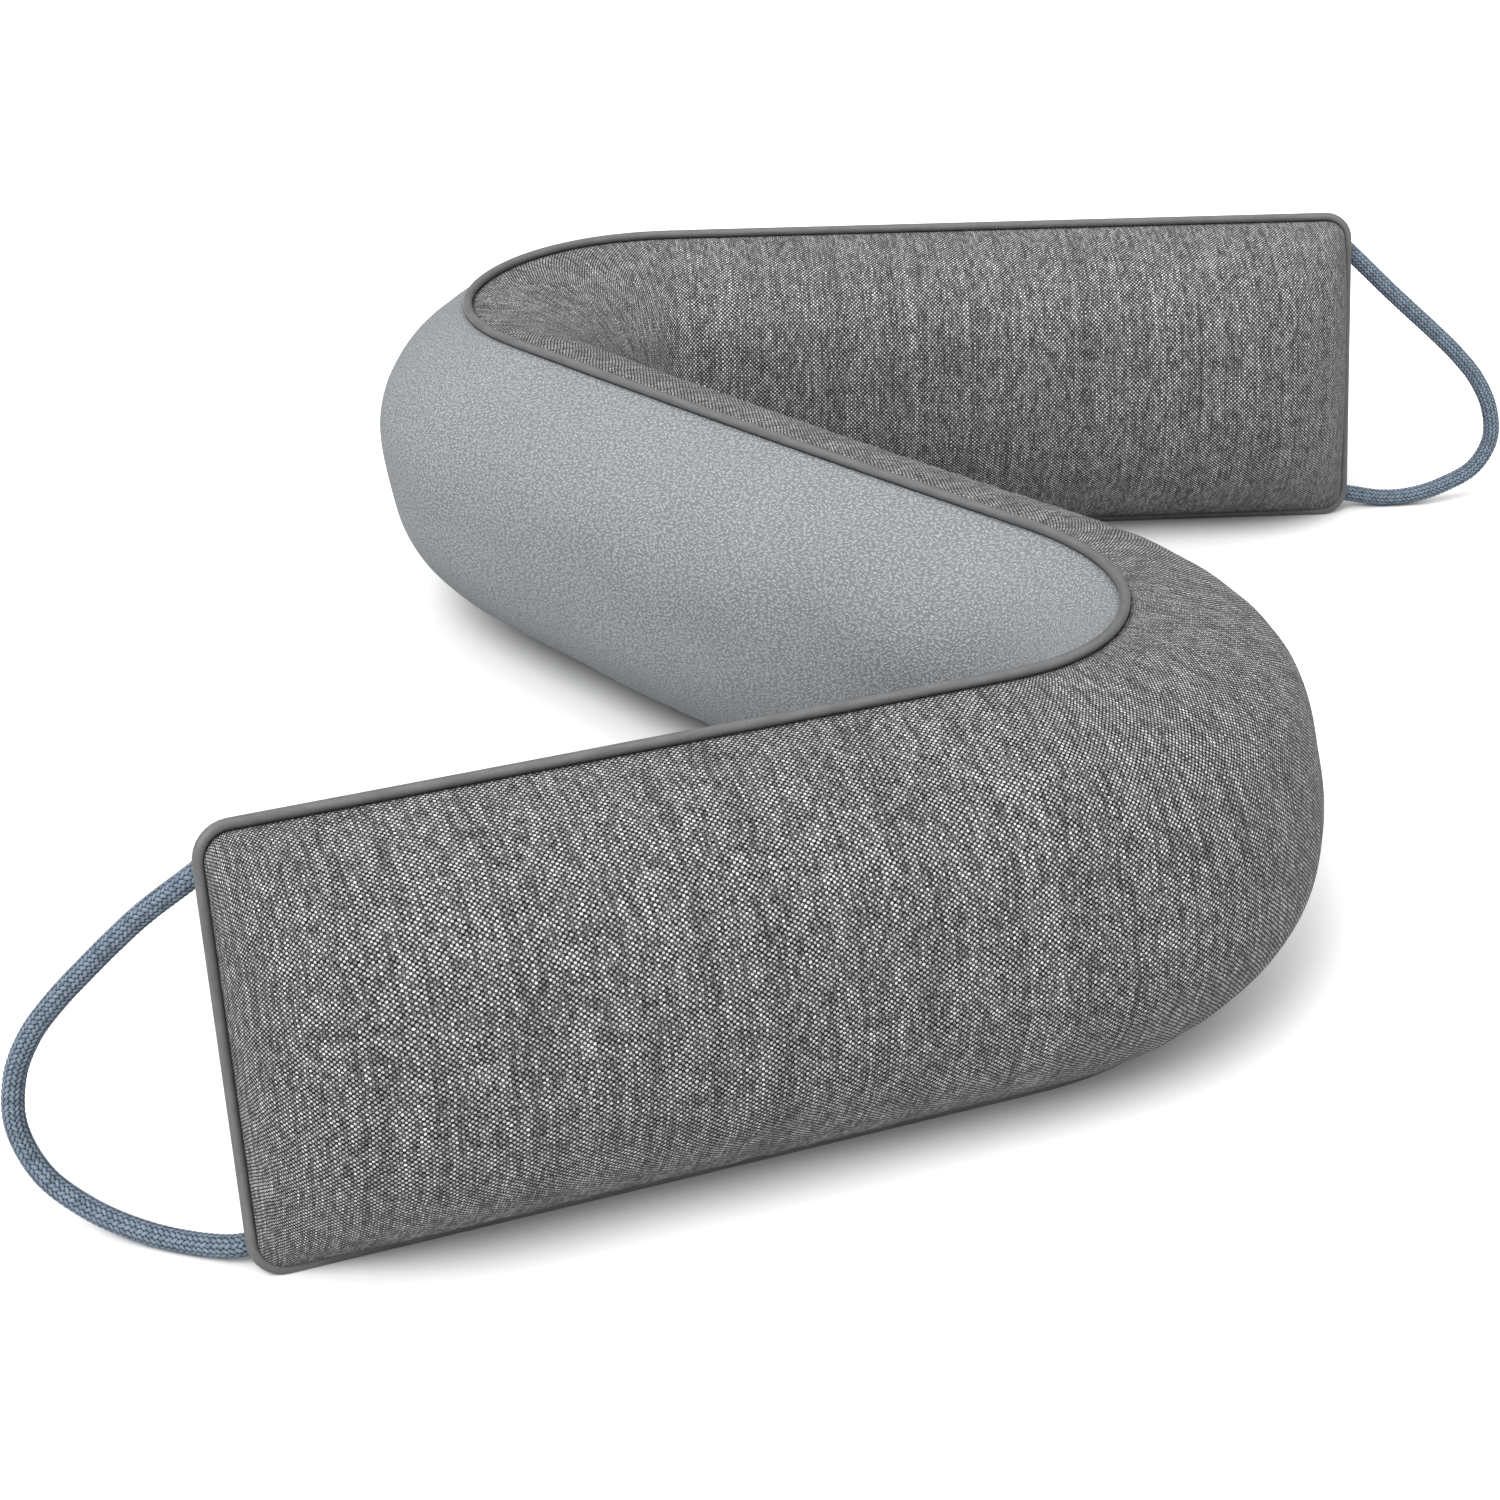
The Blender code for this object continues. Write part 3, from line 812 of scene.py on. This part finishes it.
def build_rope(name, route, left_end, node, material):
    """Braided rope loop sewn in at one end of the cushion."""
    rough = loop_points(route, left_end, LOOP_POINTS)
    length = run_of(rough)[-1]
    path = loop_points(route, left_end, round(length / ROPE_STEP))
    across, beside = frames_along(path, closed=False)
    angles = np.linspace(0, 2 * math.pi, ROPE_SIDES, endpoint=False)
    run = run_of(path)
    heights = stitch_heights(run, angles)
    radius = ROPE_RADIUS - STITCH_DEPTH * (1 - heights)
    ring = across[:, None] * np.cos(angles)[None, :, None] + beside[:, None] * np.sin(angles)[None, :, None]
    points = (path[:, None] + radius[..., None] * ring).reshape(-1, 3)
    faces = grid_faces(len(path), ROPE_SIDES, closed_rows=True)
    faces.append(tuple(range(ROPE_SIDES)))
    faces.append(tuple(range(len(points) - 1, len(points) - 1 - ROPE_SIDES, -1)))
    around = np.abs(angles / math.pi - 1) * math.pi * ROPE_RADIUS
    cloth = np.stack(np.broadcast_arrays(run[:, None], around[None]), axis=-1).reshape(-1, 2) / MM
    obj = add_mesh(name, points, faces, material, {"cloth": cloth})
    layer = obj.data.attributes.new("stitch_height", "FLOAT", "POINT")
    layer.data.foreach_set("value", heights.astype(np.float32).ravel())
    leaves = next(number for number, knot in enumerate(route) if knot[0] >= 0)
    out, side, height = route[leaves]
    station = -out * MM if left_end else SEAM_LENGTH + out * MM
    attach(obj, "root")
    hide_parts(node)
    tuple(float(v) for v in place(station, height * MM, side * MM))


def dress(obj, slot, *nodes, fill=None):
    """Piece rides on the part's body and stands for its nodes, which are hidden."""
    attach(obj, "root")
    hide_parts(*nodes)


def build_studio():
    """Pale floor, soft dome and a broad key light from the front left."""
    floor_mesh = bpy.data.meshes.new("floor")
    signs = ((-1, -1), (1, -1), (1, 1), (-1, 1))
    corners = [(x * FLOOR_REACH, y * FLOOR_REACH, 0) for x, y in signs]
    floor_mesh.from_pydata(corners, [], [(0, 1, 2, 3)])
    floor_mesh.materials.append(Graph("floor_paint").finish(FLOOR_COLOUR, 0.9, specular=0.0))
    floor = bpy.data.objects.new("floor", floor_mesh)
    bpy.context.scene.collection.objects.link(floor)
    floor.location.z = -FLOOR_DROP

    world = bpy.data.worlds.new("dome")
    world.use_nodes = True
    tree = world.node_tree
    direction = tree.nodes.new("ShaderNodeTexCoord").outputs["Generated"]
    strength = DOME_STRENGTH * DOME_LOW
    for axis, share in (((0, 0, 1), DOME_RISE), ((0, -1, 0), DOME_FRONT)):
        toward = tree.nodes.new("ShaderNodeVectorMath")
        toward.operation = "DOT_PRODUCT"
        tree.links.new(direction, toward.inputs[0])
        toward.inputs[1].default_value = axis
        added = tree.nodes.new("ShaderNodeMath")
        added.operation = "MULTIPLY_ADD"
        tree.links.new(toward.outputs["Value"], added.inputs[0])
        added.inputs[1].default_value = DOME_STRENGTH * share
        if isinstance(strength, float):
            added.inputs[2].default_value = strength
        else:
            tree.links.new(strength, added.inputs[2])
        strength = added.outputs["Value"]
    least = tree.nodes.new("ShaderNodeMath")
    least.operation = "MAXIMUM"
    tree.links.new(strength, least.inputs[0])
    least.inputs[1].default_value = DOME_STRENGTH * DOME_LEAST
    tree.links.new(least.outputs["Value"], tree.nodes["Background"].inputs["Strength"])
    tree.nodes["Background"].inputs["Color"].default_value = (1.0, 1.0, 1.0, 1.0)
    bpy.context.scene.world = world

    key = bpy.data.lights.new("key", "SUN")
    key.energy = KEY_STRENGTH
    key.angle = KEY_SPREAD
    key_object = bpy.data.objects.new("key", key)
    bpy.context.scene.collection.objects.link(key_object)
    key_object.rotation_mode = "QUATERNION"
    key_object.rotation_quaternion = KEY_DIRECTION.to_track_quat("Z", "Y")
    bpy.context.scene.view_settings.view_transform = "Standard"
    bpy.context.scene.view_settings.gamma = PICTURE_GAMMA


def main():
    """Load the frame, set the camera, and build the ropes, cloths, piping and studio."""
    for obj in list(bpy.data.objects):
        bpy.data.objects.remove(obj)
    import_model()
    make_camera()
    braid = rope_braid()
    build_rope("rope_left", LEFT_LOOP, True, "rope_loop_left", braid)
    build_rope("rope_right", RIGHT_LOOP, False, "rope_loop_right", braid)
    front = build_half("front_cloth", FRONT_CROWN, woven_cloth())
    dress(front, "heather_weave", "front_panel", fill=0.8)
    back = build_half("back_cloth", BACK_CROWN, suede_cloth())
    dress(back, "plain_suede", "back_panel", fill=0.8)
    piping = build_piping(piping_satin())
    dress(piping, "piping_satin", "piping")
    build_studio()


main()
